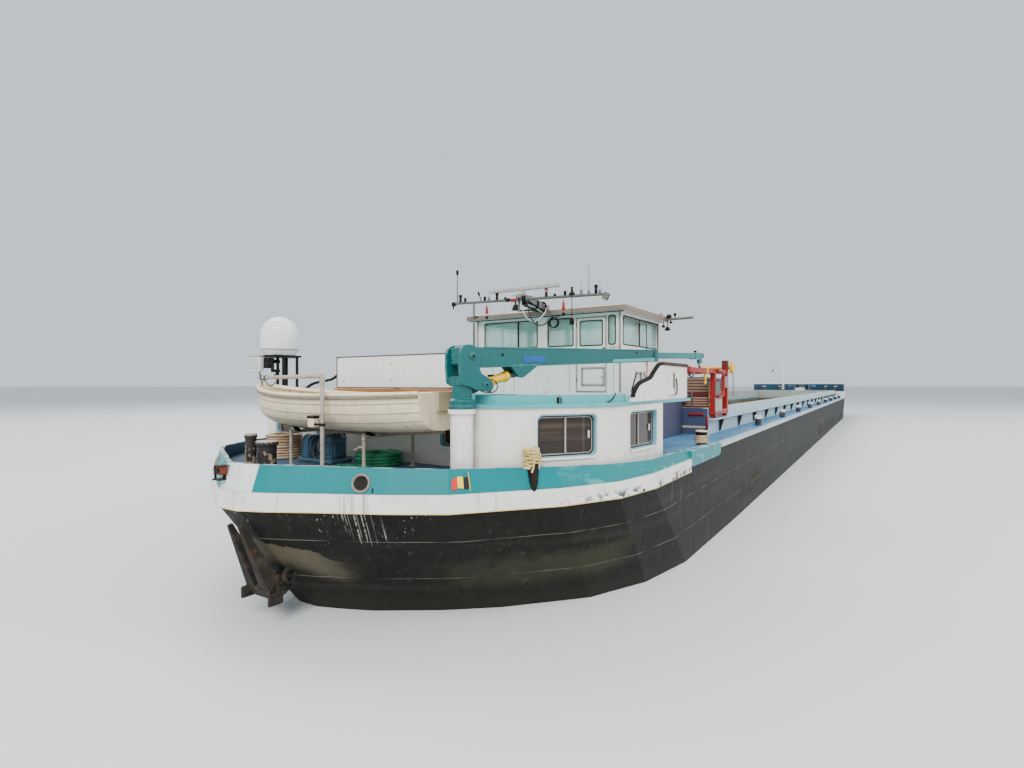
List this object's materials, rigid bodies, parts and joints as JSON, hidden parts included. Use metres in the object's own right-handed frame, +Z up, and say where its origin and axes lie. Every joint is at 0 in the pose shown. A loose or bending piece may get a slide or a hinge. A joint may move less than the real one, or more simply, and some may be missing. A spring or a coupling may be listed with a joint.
{
  "type": "river barge, a motor cargo vessel for inland water, 1:2 scale model",
  "caption": "Low flat-bottomed motor barge with a long open hold, a white deckhouse and wheelhouse aft, a deck crane, a travelling hatch gantry and a folding foremast.",
  "frame": {"origin": "on the flat bottom, on the centreline, half-way along the hull", "axes": "+X forward to the bow, +Y to port, +Z up"},
  "size_m": [33.505, 4.13, 3.475],
  "materials": {
    "hull_black": "weathered black bottom paint",
    "white": "semi-gloss white paint",
    "deck_dark": "worn dark blue-grey deck paint",
    "deck_blue": "worn blue deck paint",
    "teal": "semi-gloss teal paint",
    "crane_teal": "semi-gloss dark teal paint",
    "aqua": "satin light aqua paint",
    "pale_blue": "faded pale grey-blue paint",
    "grey_green": "scraped grey-green hold paint",
    "dark_glass": "dark tinted glass",
    "clear_glass": "slightly green clear glass",
    "steel": "grey painted steel tube",
    "black": "worn black paint",
    "dome_white": "glossy white plastic",
    "cream": "aged off-white gelcoat",
    "wood": "varnished brown wood",
    "winch_blue": "greasy blue paint",
    "rust": "rusty bare iron",
    "bronze": "dull bronze",
    "red": "semi-gloss red paint",
    "tan": "faded tan and red ribbed sheet",
    "yellow": "semi-gloss yellow paint",
    "rope_green": "green laid rope",
    "rope_brown": "brown laid rope"
  },
  "bodies": {
    "hull": {"hull_aft": "hull_black", "hull_mid": "hull_black", "hull_fore": "hull_black", "stern_band": "white", "aft_deck": "deck_dark", "side_decks": "deck_blue", "bulwark_aft": "teal", "forecastle": "teal", "bulwark_fore": "teal", "coaming": "pale_blue", "hold_floor": "grey_green", "house_walls": "white", "house_glass": "dark_glass", "house_roof": "aqua", "wing_wall_left": "white", "wing_wall_right": "white", "bridge_walls": "white", "bridge_glass": "clear_glass", "bridge_roof": "white", "helm": "black", "radar_mast": "steel", "dome_stand": "black", "dome": "dome_white", "ships_boat": "cream", "boat_chocks": "black", "name_board": "wood", "crane_column": "white", "aft_bollards": "black", "aft_winch": "winch_blue", "davit": "steel", "stern_anchor": "rust", "shaft_line": "hull_black", "hatch_covers": "tan", "bow_winch": "winch_blue", "mast_step": "steel", "hatch_trunk": "deck_blue", "bow_anchor_left": "rust", "bow_anchor_right": "rust", "rope_coil_green": "rope_green", "rope_coil_brown": "rope_brown"},
    "house_door_left": {"house_door_left": "white"},
    "house_door_right": {"house_door_right": "white"},
    "bridge_door": {"bridge_door": "white"},
    "radar_scanner": {"radar_scanner": "white"},
    "propeller": {"propeller": "bronze"},
    "rudder_left": {"rudder_left": "hull_black"},
    "rudder_right": {"rudder_right": "hull_black"},
    "crane_head": {"crane_head": "crane_teal"},
    "crane_boom": {"crane_boom": "crane_teal"},
    "crane_extension": {"crane_extension": "aqua"},
    "luff_barrel": {"luff_barrel": "yellow"},
    "luff_rod": {"luff_rod": "steel"},
    "gantry": {"gantry_frame": "red", "gantry_hoist": "yellow"},
    "foremast": {"foremast": "white"},
    "hatch_lid": {"hatch_lid": "deck_blue"}
  },
  "joints": [
    {"name": "house_door_left_hinge", "type": "hinge", "parent": "hull", "child": "house_door_left", "pos_m": [-14.0675, 1.675, 1.7], "axis": [0, 0, -1], "range_deg": [0, 90]},
    {"name": "house_door_right_hinge", "type": "hinge", "parent": "hull", "child": "house_door_right", "pos_m": [-14.0675, -1.675, 1.7], "axis": [0, 0, 1], "range_deg": [0, 90]},
    {"name": "bridge_door_hinge", "type": "hinge", "parent": "hull", "child": "bridge_door", "pos_m": [-12.6725, -0.445, 2.45], "axis": [0, 0, -1], "range_deg": [0, 90]},
    {"name": "radar_spin", "type": "hinge", "parent": "hull", "child": "radar_scanner", "pos_m": [-13.15, 0, 3.2], "axis": [0, 0, 1], "continuous": true},
    {"name": "propeller_spin", "type": "hinge", "parent": "hull", "child": "propeller", "pos_m": [-14.975, 0, 0.4], "axis": [1, 0, 0], "continuous": true},
    {"name": "rudder_left_turn", "type": "hinge", "parent": "hull", "child": "rudder_left", "pos_m": [-15.4, 0.17, 0.4], "axis": [0, 0, 1], "range_deg": [-35, 35]},
    {"name": "rudder_right_turn", "type": "hinge", "parent": "hull", "child": "rudder_right", "pos_m": [-15.4, -0.17, 0.4], "axis": [0, 0, 1], "range_deg": [-35, 35]},
    {"name": "crane_slew", "type": "hinge", "parent": "hull", "child": "crane_head", "pos_m": [-15.85, -1.2, 1.95], "axis": [0, 0, 1], "range_deg": [-140, 0]},
    {"name": "crane_luff", "type": "hinge", "parent": "crane_head", "child": "crane_boom", "pos_m": [-15.8261, -1.2072, 2.28], "axis": [-0.2874, -0.9578, 0], "range_deg": [0, 40]},
    {"name": "crane_extend", "type": "slide", "parent": "crane_boom", "child": "crane_extension", "axis": [0.9574, -0.2872, 0.0286], "range_m": [-0.4, 0.6]},
    {"name": "luff_barrel_swing", "type": "hinge", "parent": "crane_head", "child": "luff_barrel", "pos_m": [-15.7207, -1.2388, 2.095], "axis": [-0.2874, -0.9578, 0], "range_deg": [0, 40.8]},
    {"name": "luff_rod_slide", "type": "slide", "parent": "luff_barrel", "child": "luff_rod", "axis": [0.9292, -0.2788, 0.2425], "range_m": [0, 0.1498]},
    {"name": "gantry_travel", "type": "slide", "parent": "hull", "child": "gantry", "axis": [1, 0, 0], "range_m": [0, 20.7]},
    {"name": "foremast_fold", "type": "hinge", "parent": "hull", "child": "foremast", "pos_m": [13.25, 0.675, 1.975], "axis": [0, -1, 0], "range_deg": [0, 85]},
    {"name": "hatch_lid_hinge", "type": "hinge", "parent": "hull", "child": "hatch_lid", "pos_m": [14.035, 0, 1.8905], "axis": [0, -1, 0], "range_deg": [0, 100]}
  ],
  "couplings": [
    {"joint": "rudder_right_turn", "follows": "rudder_left_turn", "ratio": 1},
    {"joint": "luff_barrel_swing", "follows": "crane_luff", "ratio": 0.9951},
    {"joint": "luff_rod_slide", "follows": "crane_luff", "m_per_rad": 0.2117}
  ]
}
